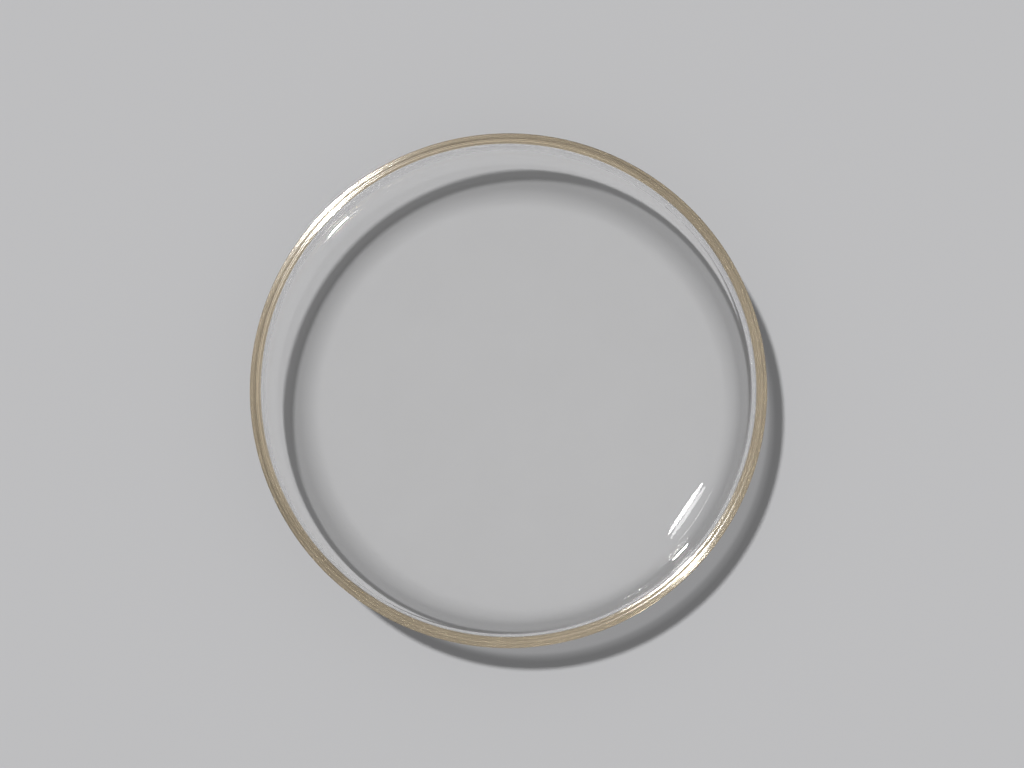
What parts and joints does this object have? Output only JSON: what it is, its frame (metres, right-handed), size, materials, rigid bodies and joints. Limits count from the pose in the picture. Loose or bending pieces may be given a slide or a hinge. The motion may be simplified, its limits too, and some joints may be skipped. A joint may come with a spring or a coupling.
{
  "type": "watch crystal",
  "caption": "Round domed clear acrylic watch crystal: a thin domed window, a short outer wall with a bezel land, and a lathe-cut seating edge that snaps into the case.",
  "frame": {"origin": "the lowest point of the dome, where the crystal touches the surface it lies on; the centre of the bounding box's bottom face", "axes": "+Z along the crystal's own axis, from the dome's top towards the seating edge, so the mouth is open upwards; the section is the same all round, so X and Y are any two square directions"},
  "size_m": [0.032, 0.032, 0.0049],
  "materials": {
    "acrylic": "polished, with a turned seating edge"
  },
  "bodies": {
    "root": {"crystal": "acrylic"}
  },
  "joints": []
}
